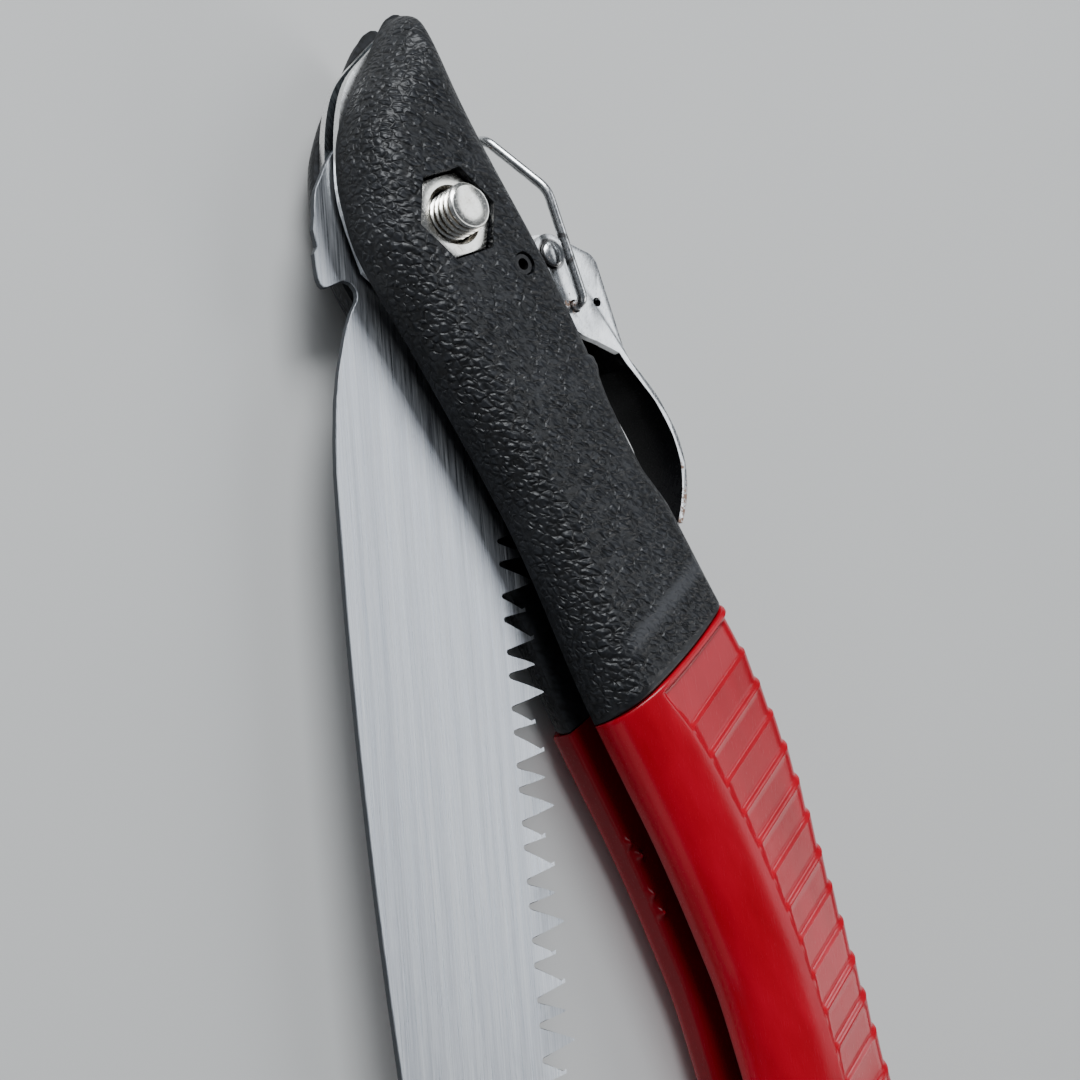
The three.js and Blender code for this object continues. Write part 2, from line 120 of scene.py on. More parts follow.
# ---- Blade ----
BLADE_ANGLE = math.radians(-27.5)
BLADE_HALF = 0.6
BLADE_BEVEL = 0.12
BLADE_BORE = 6.3
BLADE_LENGTH = 243
SPINE_FLAT_END = 50
SPINE_OFFSET = -19
SPINE_CURVATURE = 0.000565
TOOTH_PAIR_PITCH = 9
TOOTH_PAIR_COUNT = 21
FIRST_GULLET = 44.7
GULLET_HEIGHT = 10.7
GULLET_ROUND = (0.3, 0.16)  # half width, rise
TALL_TIP_PLACE, TALL_END, SHORT_TIP_PLACE = 2.4, 5.2, 7  # from the start of a pair
TALL_TIP = 17.1
SHORT_TIP = 15.8
TOOTH_SET = 0.3
TOOTH_GRIND = 0.55

# ---- Fasteners ----
BOLT_RADIUS = 4
BOLT_LOW, THREAD_START, BOLT_HIGH = -7, 3, 15
BOLT_CHAMFER = 0.45
BOLT_HEAD_HEIGHT = 5.3
THREAD_PITCH = 1.25
THREAD_DEPTH = 0.68
HEX_FLATS = 13
HEX_TURN = math.radians(25.3)
HEX_CHAMFER = (0.985, 0.45)  # where it starts, as a share of the half width, and its slope
POCKET_FLATS = HEX_FLATS + 0.87
POCKET_FLOORS = {1: 5, -1: 6.4}
STOP_PIN_HOLE = 2
STOP_PIN = (11.6, 8.3)
SCREW_SINK_RADIUS = 3.1
SCREW_SINK_FLOOR = -9.4
SCREW_NODES = ["cover_screw", "grip_screw_front", "grip_screw_middle", "grip_screw_rear", "grip_screw_tail"]

# ---- Lever and bail ----
LEVER_HALF_WIDTH = 5.2
LEVER_SHEET = 1.3
LEVER_EDGE = 0.22
LEVER_EAR = 3.6
LEVER_HOLE = (22.3, 25)
LEVER_HOLE_RADIUS = 0.8
RIVET = (11.9, 20.4)
RIVET_RADIUS = 1.6
RIVET_HEAD_RADIUS = 2.3
RIVET_HEAD_RISE = 0.9
WIRE_RADIUS = 0.85
WIRE_CLEARANCE = 0.6
WIRE_BEND = 1.8
WIRE_END = 2.9  # where a leg ends inside the lever, from the middle plane
WIRE_HOLE = (21.3, 20.1)
WIRE_HOLE_RADIUS = 1.15
WIRE_KNEE = (2, 23.8)
WIRE_NOSE = (-10.2, 21.3)
WIRE_NOSE_HALF = 1.9


# ======== Mesh helpers ========

def new_piece(name, vertices, faces, sharp_angle=35):
    """A mesh object from points in millimetres with z from the blade's middle plane."""
    mesh = bpy.data.meshes.new(name)
    mesh.from_pydata([(x * MM, y * MM, (z + MIDDLE) * MM) for x, y, z in vertices], [], faces)
    piece = bpy.data.objects.new(name, mesh)
    bpy.context.scene.collection.objects.link(piece)
    tidy_mesh(piece, sharp_angle)
    return piece


def tidy_mesh(piece, sharp_angle=35):
    """Merges doubled points, drops bare edges, turns faces outwards and smooths all but the sharp edges."""
    shape = bmesh.new()
    shape.from_mesh(piece.data)
    bmesh.ops.remove_doubles(shape, verts=shape.verts, dist=0.004 * MM)
    bare_edges = [edge for edge in shape.edges if not edge.link_faces]
    bmesh.ops.delete(shape, geom=bare_edges, context="EDGES")
    bmesh.ops.recalc_face_normals(shape, faces=shape.faces)
    shape.to_mesh(piece.data)
    shape.free()
    for polygon in piece.data.polygons:
        polygon.use_smooth = True
    piece.data.set_sharp_from_angle(angle=math.radians(sharp_angle))


def apply_modifiers(piece):
    graph = bpy.context.evaluated_depsgraph_get()
    finished = bpy.data.meshes.new_from_object(piece.evaluated_get(graph))
    old = piece.data
    piece.modifiers.clear()
    piece.data = finished
    bpy.data.meshes.remove(old)


def cut(piece, *cutters, sharp_angle=35):
    for cutter in cutters:
        step = piece.modifiers.new("cut", "BOOLEAN")
        step.operation = "DIFFERENCE"
        step.solver = "EXACT"
        step.object = cutter
    apply_modifiers(piece)
    for cutter in cutters:
        bpy.data.objects.remove(cutter)
    tidy_mesh(piece, sharp_angle)
    return piece


def ring_faces(rings, segments):
    """Faces between closed rings of points that follow one another."""
    faces = []
    for here in range(0, (rings - 1) * segments, segments):
        for step in range(segments):
            after = (step + 1) % segments
            faces.append((here + step, here + after, here + segments + after, here + segments + step))
    return faces


def prism(name, outline, low, high):
    """A straight-sided solid between two heights."""
    count = len(outline)
    vertices = [(x, y, z) for z in (low, high) for x, y in outline]
    ends = [tuple(range(count)), tuple(range(count, 2 * count))]
    return new_piece(name, vertices, ends + ring_faces(2, count))


def turned(name, profile, centre, segments=48, sharp_angle=35):
    """A body of revolution; the profile's (radius, height) points start and end on the axis."""
    vertices = [(x, y, height) for radius, height in profile for x, y in disc(centre, radius, segments)]
    return new_piece(name, vertices, ring_faces(len(profile), segments), sharp_angle)


def disc(centre, radius, segments=40, turn=0.0):
    angles = [turn + 2 * math.pi * step / segments for step in range(segments)]
    return [(centre[0] + radius * math.cos(angle), centre[1] + radius * math.sin(angle)) for angle in angles]


def rectangle(centre, width, length):
    ends = ((-0.5, -0.5), (0.5, -0.5), (0.5, 0.5), (-0.5, 0.5))
    return [(centre[0] + x * width, centre[1] + y * length) for x, y in ends]


def hexagon(flats):
    return disc((0, 0), flats / 2 / math.cos(math.pi / 6), 6, HEX_TURN)


def smooth_line(points):
    """A smooth y(x) through the points that never overshoots them."""
    xs, ys = np.array(points, dtype=float).T
    steps = np.diff(ys) / np.diff(xs)
    before, after = steps[:-1], steps[1:]
    same_way = before * after > 0
    harmonic = 2 * before * after / np.where(same_way, before + after, 1)
    slopes = np.concatenate([steps[:1], np.where(same_way, harmonic, 0), steps[-1:]])

    def value(x):
        low = np.clip(np.searchsorted(xs, x) - 1, 0, len(xs) - 2)
        width = xs[low + 1] - xs[low]
        t = np.clip((x - xs[low]) / width, 0, 1)
        start = (2 * t**3 - 3 * t**2 + 1) * ys[low] + (t**3 - 2 * t**2 + t) * width * slopes[low]
        end = (3 * t**2 - 2 * t**3) * ys[low + 1] + (t**3 - t**2) * width * slopes[low + 1]
        return start + end

    return value


def smooth_step(low, high, value):
    t = np.clip((value - low) / (high - low), 0, 1)
    return t * t * (3 - 2 * t)


# ======== Handle halves ========

front_edge = smooth_line(FRONT_EDGE)
back_edge = smooth_line(BACK_EDGE)
crease = smooth_line(CREASE)


def edge_slope(edge, x):
    return (edge(x + 0.05) - edge(x - 0.05)) / 0.1


def quarter_round(nearness, depth):
    return depth * (1 - np.sqrt(1 - np.clip(nearness, 0, 1) ** 2))


def rounded_drop(from_front, from_back, front_round, back_round):
    """How far the face falls near its edges; each round is (size across, depth)."""
    near_front = np.clip(1 - from_front / front_round[0], 0, 1)
    near_back = np.clip(1 - from_back / back_round[0], 0, 1)
    together = np.clip((near_front**4 + near_back**4) ** 0.25, 1e-9, 1)
    shares = front_round[1] * near_front + back_round[1] * near_back
    return quarter_round(together, shares / np.maximum(near_front + near_back, 1e-9))


def blended(first, last, share):
    """Two pairs of values mixed, from the first at share 0 to the last at share 1."""
    return [start + (end - start) * share for start, end in zip(first, last)]


def edge_distances(x, y):
    from_front = (y - front_edge(x)) / np.hypot(1, edge_slope(front_edge, x))
    from_back = (back_edge(x) - y) / np.hypot(1, edge_slope(back_edge, x))
    return from_front, from_back


def surface_points(stations, shift, low_line, high_line, across):
    """Grid of (x, y): rows start at the stations and lean by shift(station, y), between two lines."""
    start = np.repeat(stations[:, None], len(across), axis=1)
    t = np.broadcast_to(across, start.shape)
    x = start.copy()
    for _ in range(10):
        low = low_line(x)
        y = low + (high_line(x, start) - low) * t
        x = start + shift(start, y)
    return x, y


def half_solid(name, x, y, height, slot_height, side):
    """A closed half of the handle between its shaped face and the side of the slot."""
    rows, columns = x.shape
    faces = []
    for row in range(rows - 1):
        for column in range(columns - 1):
            corner = row * columns + column
            faces.append((corner, corner + 1, corner + columns + 1, corner + columns))
    under = rows * columns
    faces += [tuple(under + index for index in reversed(face)) for face in faces]
    rim = [(0, column) for column in range(columns)]
    rim += [(row, columns - 1) for row in range(1, rows)]
    rim += [(rows - 1, column) for column in range(columns - 2, -1, -1)]
    rim += [(row, 0) for row in range(rows - 2, 0, -1)]
    loop = [row * columns + column for row, column in rim]
    for here, after in zip(loop, loop[1:] + loop[:1]):
        faces.append((here, under + here, under + after, after))
    face_points = np.stack([x, y, side * height], axis=-1).reshape(-1, 3)
    slot_points = np.stack([x, y, np.full_like(x, side) * slot_height], axis=-1).reshape(-1, 3)
    return new_piece(name, np.concatenate([face_points, slot_points]).tolist(), faces, 38)


def seam_shift(y):
    """The seam leans and bows towards the tail in its middle."""
    return SEAM_LEAN * y + SEAM_BOW * np.clip(1 - (y / HALF_WIDTH) ** 2, 0, 1)


def crowded_ends(count):
    """Steps from 0 to 1 that are finest at both ends."""
    return 0.5 * (1 - np.cos(np.pi * np.arange(count + 1) / count))


def cover_stations():
    nose = NOSE_X + 6 * (1 - np.cos(np.linspace(0, np.pi / 2, 12)))
    body = np.linspace(nose[-1], SEAM_X - 2, 128)[1:]
    rim = np.linspace(SEAM_X - 2, SEAM_X - SEAM_GAP, 10)[1:]
    return np.concatenate([nose, body, rim])


def cover_height(x, y):
    """The cover's face, as a distance from the blade's middle plane."""
    from_front, from_back = edge_distances(x, y)
    past_nose = smooth_step(*NOSE_SPAN, x)
    front_round = blended(*COVER_FRONT_ROUNDS, past_nose)
    back_round = blended(*COVER_BACK_ROUNDS, past_nose)
    drop = rounded_drop(from_front, from_back, front_round, back_round)
    off_middle = (y - (front_edge(x) + back_edge(x)) / 2) / HALF_WIDTH
    crown = COVER_CROWN * np.clip(np.abs(off_middle), 0, 1) ** 2.4
    from_seam = SEAM_X - SEAM_GAP - (x - seam_shift(y))
    seam_roll = quarter_round(1 - from_seam / COVER_ROLL[0], COVER_ROLL[1])
    off_swage = x + SWAGE_LEAN * y - SWAGE_X
    swage = SWAGE_HEIGHT * np.exp(-((off_swage / SWAGE_WIDTH) ** 2))
    swage = swage * smooth_step(*SWAGE_FADES[0], y) * (1 - smooth_step(*SWAGE_FADES[1], y))
    height = HALF_THICKNESS - COVER_INSET - drop - crown - seam_roll + swage
    return np.maximum(height, SHELL_INNER + THINNEST_WALL)


def front_cover(side, name):
    def shift(start, y):
        return seam_shift(y) * smooth_step(30, SEAM_X - 2, start)

    def back(x, start):
        return back_edge(x)

    x, y = surface_points(cover_stations(), shift, front_edge, back, crowded_ends(76))
    piece = half_solid(name, x, y, cover_height(x, y), SHELL_INNER, side)
    through = sorted(side * reach for reach in CUTTER_REACH)
    pocket_ends = sorted((side * POCKET_FLOORS[side], side * CUTTER_REACH[1]))
    cutters = [
        prism("bore", disc((0, 0), BOLT_RADIUS + CLEARANCE), *through),
        prism("pin_hole", disc(STOP_PIN, STOP_PIN_HOLE), *through),
        prism("pocket", hexagon(POCKET_FLATS), *pocket_ends),
    ]
    if side < 0:
        cutters += screw_cutters(["cover_screw"])
    return cut(piece, *cutters, sharp_angle=38)


def rib_stations():
    """Rows that fall on the foot and top of every riser."""
    rim_end = SEAM_X + 1.9
    rows = [np.linspace(SEAM_X + SEAM_GAP, rim_end, 9)[:-1], np.linspace(rim_end, RIB_START, 14)[:-1]]
    for index in range(RIB_COUNT):
        start = RIB_START + index * RIB_PITCH
        rows.append(np.linspace(start, start + RISER_WIDTH, 6)[:-1])
        rows.append(np.linspace(start + RISER_WIDTH, start + RIB_PITCH, 9)[:-1])
    end = RIB_START + RIB_COUNT * RIB_PITCH
    rows.append(np.linspace(end, TAIL_ROUND_X, 50)[:-1])
    rows.append(TAIL_ROUND_X + (TAIL_X - TAIL_ROUND_X) * np.sin(np.linspace(0, np.pi / 2, 14)))
    return np.concatenate(rows)


def rib_fall(start):
    """How far the panels lie below the grip's own face: 0 at the top of a riser, 1 at the next one's foot."""
    along = (start - RIB_START) / RIB_PITCH
    within = np.mod(along, 1) * RIB_PITCH
    panel = np.clip((within - RISER_WIDTH) / (RIB_PITCH - RISER_WIDTH), 0, 1)
    riser = 1 - np.clip(within / RISER_WIDTH, 0, 1)
    fall = np.where(within < RISER_WIDTH, riser * riser * (3 - 2 * riser), 0.15 + 0.85 * panel)
    first = smooth_step(SEAM_X + 1.1, SEAM_X + 1.9, start)
    last = 1 - smooth_step(RIB_COUNT - 3, RIB_COUNT, along)
    return np.where(along < 0, first, np.where(along < RIB_COUNT, fall * last, 0))


def flash_height(x, y):
    """Small scraps of moulding flash on the slot's lip."""
    scraps = [np.exp(-(((x - place[0]) / FLASH_SIZE[0]) ** 2 + ((y - place[1]) / FLASH_SIZE[1]) ** 2))
              for place in FLASH_PLACES]
    return FLASH_SIZE[2] * np.clip(sum(scraps), 0, 1)


def grip_points():
    """The grip's grid of (x, y), with a column on the crease, and the station that each row starts at."""
    def shift(start, y):
        to_ribs = smooth_step(SEAM_X + 0.2, RIB_START, start)
        past_ribs = smooth_step(RIB_START + (RIB_COUNT - 4) * RIB_PITCH, PALM_X, start)
        return (seam_shift(y) * (1 - to_ribs) + RIB_LEAN * y * to_ribs) * (1 - past_ribs)

    def back(x, start):
        return back_edge(x) - BACK_NOTCH * rib_fall(start)

    stations = rib_stations()
    across = crowded_ends(COLUMNS_BEFORE_CREASE)
    front_x, front_y = surface_points(stations, shift, front_edge, lambda x, start: crease(x), across)
    near_crease = 0.12
    towards_back = near_crease + (1 - near_crease) * np.sin(np.linspace(0, np.pi / 2, 33))
    after = np.concatenate([np.linspace(0, near_crease, 9)[:-1], towards_back])
    back_x, back_y = surface_points(stations, shift, crease, back, after)
    x = np.concatenate([front_x, back_x[:, 1:]], axis=1)
    y = np.concatenate([front_y, back_y[:, 1:]], axis=1)
    return x, y, np.repeat(stations[:, None], x.shape[1], axis=1)


def grip_height(x, y, start, drop):
    """The grip's face, as a distance from the blade's middle plane."""
    past_crease = y - crease(x)
    panel = RIB_DEPTH * rib_fall(start) * smooth_step(0, 0.75, past_crease)
    groove = CREASE_GROOVE[1] * np.exp(-((past_crease / CREASE_GROOVE[0]) ** 2))
    groove = groove * smooth_step(0.1, 0.5, rib_fall(start))
    ridge = CREASE_RIDGE * smooth_step(-8, 0, past_crease) * (1 - smooth_step(0, 1.5, past_crease))
    ridge = ridge * smooth_step(SEAM_X + 3, SEAM_X + 14, start)
    rim = PANEL_RIM * smooth_step(SEAM_X + 1.0, SEAM_X + 1.6, start) * (past_crease > 0)
    roll = quarter_round(1 - (start - SEAM_X - SEAM_GAP) / GRIP_ROLL[0], GRIP_ROLL[1])
    palm = PALM_HOLLOW * np.exp(-(((x - PALM_X) / PALM_LENGTH) ** 2))
    height = HALF_THICKNESS - GRIP_INSET - drop - panel - groove - rim - roll - palm + ridge
    return np.clip(height, SHELL_INNER + THINNEST_WALL, HALF_THICKNESS)


def grip_half(side, name):
    x, y, start = grip_points()
    from_front, from_back = edge_distances(x, y)
    drop = rounded_drop(from_front, from_back, GRIP_FRONT_ROUNDS[side], GRIP_BACK_ROUND)
    slot_height = SHELL_INNER
    if side < 0:
        slot_height += quarter_round(1 - from_front / SLOT_LIP[0], SLOT_LIP[1]) - flash_height(x, y)
    piece = half_solid(name, x, y, grip_height(x, y, start, drop), slot_height, side)
    if side < 0:
        cut(piece, *screw_cutters(SCREW_NODES[1:]), sharp_angle=38)
    return piece


def node_centre(node):
    low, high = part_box(node)
    return ((low[0] + high[0]) / 2 / MM, (low[1] + high[1]) / 2 / MM)


def screw_cutters(nodes):
    return [prism("sink", disc(node_centre(node), SCREW_SINK_RADIUS), -CUTTER_REACH[1], SCREW_SINK_FLOOR)
            for node in nodes]


# ======== Blade ========

def blade_to_row(u, v):
    cosine, sine = math.cos(BLADE_ANGLE), math.sin(BLADE_ANGLE)
    return (u * cosine - v * sine, u * sine + v * cosine)


def gullet(middle):
    """The rounded hollow between two teeth, as (u, v, how much is ground off, which side)."""
    reach, rise = GULLET_ROUND
    return [(middle + place * reach, GULLET_HEIGHT + abs(place) * rise, 0, 1) for place in (-1, 0, 1)]


def tooth(start, tip, end, top, side):
    """(u, v, how much is ground off, which face it is ground from) up one flank and down the other."""
    foot, crest = GULLET_HEIGHT + 0.75, top - 0.3
    up = [(start + 0.5 + (tip - start - 0.68) * f, foot + (crest - foot) * f, f, side) for f in (0, 0.5, 1)]
    down = [(end - 0.5 + (tip - end + 0.68) * f, foot + (crest - foot) * f, f, side) for f in (1, 0.5, 0)]
    return [*up, (tip, top, 1, side), *down]


def tooth_points():
    """The cutting edge from the pivot outwards; heights and ground faces take turns."""
    points = []
    for pair in range(TOOTH_PAIR_COUNT):
        start = FIRST_GULLET + pair * TOOTH_PAIR_PITCH
        middle, end = start + TALL_END, start + TOOTH_PAIR_PITCH
        side = 1 if pair % 2 == 0 else -1
        points += gullet(start) + tooth(start, start + TALL_TIP_PLACE, middle, TALL_TIP, side)
        points += gullet(middle) + tooth(middle, start + SHORT_TIP_PLACE, end, SHORT_TIP, -side)
    return points + gullet(FIRST_GULLET + TOOTH_PAIR_COUNT * TOOTH_PAIR_PITCH)


def arc(radius, start, end, steps):
    angles = np.radians(np.linspace(start, end, steps))
    return [(radius * math.cos(angle), radius * math.sin(angle)) for angle in angles]


def spine_points():
    us = np.linspace(BLADE_LENGTH - 5, SPINE_FLAT_END, 40)
    return [(u, SPINE_OFFSET + SPINE_CURVATURE * (u - SPINE_FLAT_END) ** 2) for u in us]


def plain_blade_points():
    """The rest of the blade's outline: end, spine, notch, hook and tang."""
    end = [(236, 15.6), (239, 14.9), (241.2, 13.2), (242.5, 10.6), (242.9, 7.5), (242.4, 4.7),
           (240.6, 2.8)]
    shoulder = [(41.5, -19), (36, -18.7), (30, -18.1), (25, -17.2), (21.2, -16.2), (18, -15.3), (15, -14.1)]
    notch = [(13.6, -13.3), (12.9, -12.9), (12.1, -12.75), (11.3, -12.8), (10.7, -13.1), (10.1, -13.7),
             (9.9, -14.4), (9.9, -15.1), (10.2, -15.8)]
    hook = [(11.4, -18.2), (11.5, -18.9), (11.1, -19.5), (10.2, -19.9), (8.3, -20.1), (6.1, -20.2)]
    tang = arc(20.2, 284, 276, 3) + arc(19.7, 268, 256, 4) + arc(19.3, 248, 224, 8)
    waist = arc(11.5, 224, 36, 30)
    root = arc(19, 36, 36, 1) + [(24, 13.6), (33, 13.9), (42, 14)]
    return end + spine_points() + shoulder + notch + hook + tang + waist + root


def saw_blade():
    edge = tooth_points() + [(u, v, 0, 1) for u, v in plain_blade_points()]
    count = len(edge)
    heights = (-BLADE_HALF, -BLADE_HALF + BLADE_BEVEL, BLADE_HALF - BLADE_BEVEL, BLADE_HALF)
    places = np.array([[point[0], point[1]] for point in edge])
    along = np.roll(places, -1, axis=0) - np.roll(places, 1, axis=0)
    inward = np.stack([along[:, 1], -along[:, 0]], axis=1) / np.linalg.norm(along, axis=1)[:, None]
    vertices = []
    for height in heights:
        for (u, v, ground, side), move in zip(edge, inward):
            inset = ground * TOOTH_GRIND * (0.5 + side * height / (2 * BLADE_HALF))
            if ground == 0 and abs(height) == BLADE_HALF:
                inset = BLADE_BEVEL
            x, y = blade_to_row(u + move[0] * inset, v + move[1] * inset)
            vertices.append((x, y, height - side * TOOTH_SET * ground))
    faces = ring_faces(len(heights), count)
    # Teeth are set to either side, so each has faces of its own beside the plate's flat ones.
    tooth_starts = [3 + 10 * index for index in range(2 * TOOTH_PAIR_COUNT)]
    above_foot = {start + step for start in tooth_starts for step in range(1, 6)}
    plate = [i for i in range(count) if i not in above_foot]
    for layer in (0, 3 * count):
        faces.append(tuple(layer + i for i in plate))
        faces += [tuple(layer + start + step for step in range(7)) for start in tooth_starts]
    piece = new_piece("blade_ground", vertices, faces, 12)
    return cut(piece, prism("bore", disc((0, 0), BLADE_BORE), -3, 3), sharp_angle=12)


# ======== Fasteners ========

def hex_radius(angle):
    """Distance from the centre to a hexagon's side, in a direction."""
    within = (angle - HEX_TURN) % (math.pi / 3) - math.pi / 6
    return HEX_FLATS / 2 / math.cos(within)


def hex_body(name, plain_end, far_end, inner_rings):
    """A hexagon with corners chamfered at its far end; its middle follows inner_rings from there."""
    segments = 96
    share, slope = HEX_CHAMFER
    chamfer_radius = HEX_FLATS / 2 * share
    outwards = 1 if far_end > plain_end else -1
    vertices = []
    for end, lean in ((plain_end, 0), (far_end, outwards * slope)):
        for step in range(segments):
            angle = HEX_TURN + 2 * math.pi * step / segments
            radius = hex_radius(angle)
            height = end - lean * (radius - chamfer_radius)
            vertices.append((radius * math.cos(angle), radius * math.sin(angle), height))
    for radius, height in [(chamfer_radius, far_end), *inner_rings]:
        vertices += [(x, y, height) for x, y in disc((0, 0), radius, segments, HEX_TURN)]
    rings = 3 + len(inner_rings)
    closing = [tuple(index % (rings * segments) for index in face)
               for face in ring_faces(rings + 1, segments)[-segments:]]
    return new_piece(name, vertices, ring_faces(rings, segments) + closing, 28)


def pivot_nut():
    low, high = (corner[2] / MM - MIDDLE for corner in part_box("pivot_nut"))
    return hex_body("nut_chamfered", low, high, [(5, high), (4.35, high - 0.7), (4.35, low)])


def thread_groove(height, turn):
    """How deep the thread is cut at a height and a part of a turn; its crests and roots are flat."""
    from_root = abs((height / THREAD_PITCH - turn) % 1 - 0.5)
    return THREAD_DEPTH * min(1, max(0, 1 - (from_root - 0.1) / 0.3))


def bolt_shank():
    """The bolt's shank, threaded at the nut, with a chamfered and slightly dished end."""
    segments = 72
    high = BOLT_HIGH
    vertices = []
    for height in [BOLT_LOW, *np.arange(THREAD_START, high, THREAD_PITCH / 16), high]:
        limit = BOLT_RADIUS - max(0, height - (high - BOLT_CHAMFER))
        for step in range(segments):
            turn = step / segments
            groove = thread_groove(height, turn) if height > THREAD_START else 0
            radius = min(BOLT_RADIUS - groove, limit)
            angle = 2 * math.pi * turn
            vertices.append((radius * math.cos(angle), radius * math.sin(angle), height))
    for radius, height in [(3.3, high), (3.1, high - 0.1), (1.5, high - 0.14), (0.3, high - 0.12)]:
        vertices += [(x, y, height) for x, y in disc((0, 0), radius, segments)]
    faces = ring_faces(len(vertices) // segments, segments)
    faces.append(tuple(range(len(vertices) - segments, len(vertices))))
    faces.append(tuple(reversed(range(segments))))
    return new_piece("bolt_threaded_shank", vertices, faces, 32)


def bolt_head():
    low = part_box("pivot_bolt")[0][2] / MM - MIDDLE
    high = low + BOLT_HEAD_HEIGHT
    dish = low + 0.15
    return hex_body("bolt_hex_head", high, low, [(5, low), (4.8, dish), (0, dish), (0, high)])


def lever_rivet():
    foot = LEVER_HALF_WIDTH + CLEARANCE
    dome = [(RIVET_HEAD_RADIUS * math.cos(angle), foot + 0.1 + (RIVET_HEAD_RISE - 0.1) * math.sin(angle))
            for angle in np.linspace(0, math.pi / 2, 9)]
    half = [(RIVET_RADIUS, 3.1), (3.1, 3.1), (3.1, 3.6), (RIVET_RADIUS, 3.6), (RIVET_RADIUS, foot),
            (RIVET_HEAD_RADIUS, foot), *dome]
    mirrored = [(r, -z) for r, z in reversed(half)]
    return turned("rivet_domed", mirrored + half, RIVET, 40, 30)


def sunk_screw(node):
    """A pan head with a cross recess, seen from below."""
    centre = node_centre(node)
    low, high = (corner[2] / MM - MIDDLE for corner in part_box(node))
    profile = [(0, low), (1.9, low), (2.45, low + 0.2), (2.8, low + 0.75), (2.8, low + 2), (1.3, low + 2),
               (1.3, high - 1.5), (0, high)]
    piece = turned(f"{node}_cross_head", profile, centre, 36, 30)
    bars = [prism("bar", rectangle(centre, *size), low - 1, low + 1.1) for size in ((0.8, 3.2), (3.2, 0.8))]
    return cut(piece, *bars, sharp_angle=30)


# ======== Lever and bail ========

def quadratic(start, bend, end, steps):
    corners = np.array([start, bend, end], dtype=float)
    weights = [((1 - t) ** 2, 2 * t * (1 - t), t**2) for t in np.linspace(0, 1, steps + 1)[1:]]
    return [tuple(np.dot(weight, corners)) for weight in weights]


def sampled(points, steps):
    line = smooth_line(sorted(points))
    xs = np.linspace(points[0][0], points[-1][0], steps)
    return [(float(x), float(line(x))) for x in xs]


def lever_outline():
    leaf_top = sampled([(61.6, 20.3), (59.4, 22.8), (56.5, 25.2), (52.2, 27.4), (47, 28.4), (42, 28.2),
                        (37, 27.1), (33, 25.9)], 28)
    web = [(31, 25.9), (16.4, 28.9)] + quadratic((16.4, 28.9), (14.6, 28.9), (13.6, 27.4), 5)
    web.append((10, 23.6))
    ear = [(RIVET[0] + x, RIVET[1] + y) for x, y in arc(LEVER_EAR, 125, 270, 16)]
    cheek = [(22, 16.8)] + quadratic((22, 16.8), (25.5, 17.4), (28, 21), 6) + [(31.5, 24.5)]
    leaf_under = sampled([(33.4, 24.8), (37.5, 26), (42.2, 27.15), (47, 27.35), (52, 26.35), (55.9, 24.3),
                          (58.8, 21.9), (61, 19.6)], 26)
    return leaf_top + web + ear + cheek + leaf_under


def lock_lever():
    body = prism("lever_formed", lever_outline(), -LEVER_HALF_WIDTH, LEVER_HALF_WIDTH)
    inner = LEVER_HALF_WIDTH - LEVER_SHEET
    channel = [(0, 10), (34.2, 10), (34.2, 24.7), (16.2, 27.5), (0, 27.5)]
    through = (-9, 9)
    cut(body, prism("channel", channel, -inner, inner),
        prism("rivet_hole", disc(RIVET, RIVET_RADIUS + CLEARANCE), *through),
        prism("wire_hole", disc(WIRE_HOLE, WIRE_HOLE_RADIUS), *through),
        prism("small_hole", disc(LEVER_HOLE, LEVER_HOLE_RADIUS, 24), *through))
    edge = body.modifiers.new("edge", "BEVEL")
    edge.width = LEVER_EDGE * MM
    edge.segments = 3
    edge.limit_method = "ANGLE"
    edge.angle_limit = math.radians(40)
    apply_modifiers(body)
    tidy_mesh(body, 32)
    return body


def rounded_path(corners, bend, steps):
    corners = [Vector(corner) for corner in corners]
    points = [corners[0]]
    for before, corner, after in zip(corners, corners[1:], corners[2:]):
        start = corner + (before - corner).normalized() * bend
        end = corner + (after - corner).normalized() * bend
        for t in np.linspace(0, 1, steps):
            points.append(start * (1 - t) ** 2 + corner * (2 * t * (1 - t)) + end * t**2)
    points.append(corners[-1])
    return points


def wire_bail():
    height = LEVER_HALF_WIDTH + RIVET_HEAD_RISE + WIRE_CLEARANCE + WIRE_RADIUS
    leg = [(*WIRE_HOLE, WIRE_END), (*WIRE_HOLE, height), (*WIRE_KNEE, height),
           (*WIRE_NOSE, WIRE_NOSE_HALF)]
    corners = leg + [(x, y, -z) for x, y, z in reversed(leg)]
    path = rounded_path(corners, WIRE_BEND, 9)
    sides = 20
    vertices = []
    across = Vector((0, 1, 0))
    for index, point in enumerate(path):
        ahead = path[min(index + 1, len(path) - 1)] - path[max(index - 1, 0)]
        ahead.normalize()
        across = (across - ahead * across.dot(ahead)).normalized()
        third = ahead.cross(across)
        end = index in (0, len(path) - 1)
        radius = WIRE_RADIUS * (0.8 if end else 1)
        for side in range(sides):
            angle = 2 * math.pi * side / sides
            vertices.append(tuple(point + (across * math.cos(angle) + third * math.sin(angle)) * radius))
    faces = ring_faces(len(path), sides)
    faces.append(tuple(reversed(range(sides))))
    faces.append(tuple(range(len(vertices) - sides, len(vertices))))
    return new_piece("bail_wire_smooth", vertices, faces, 50)


# ======== Materials ========

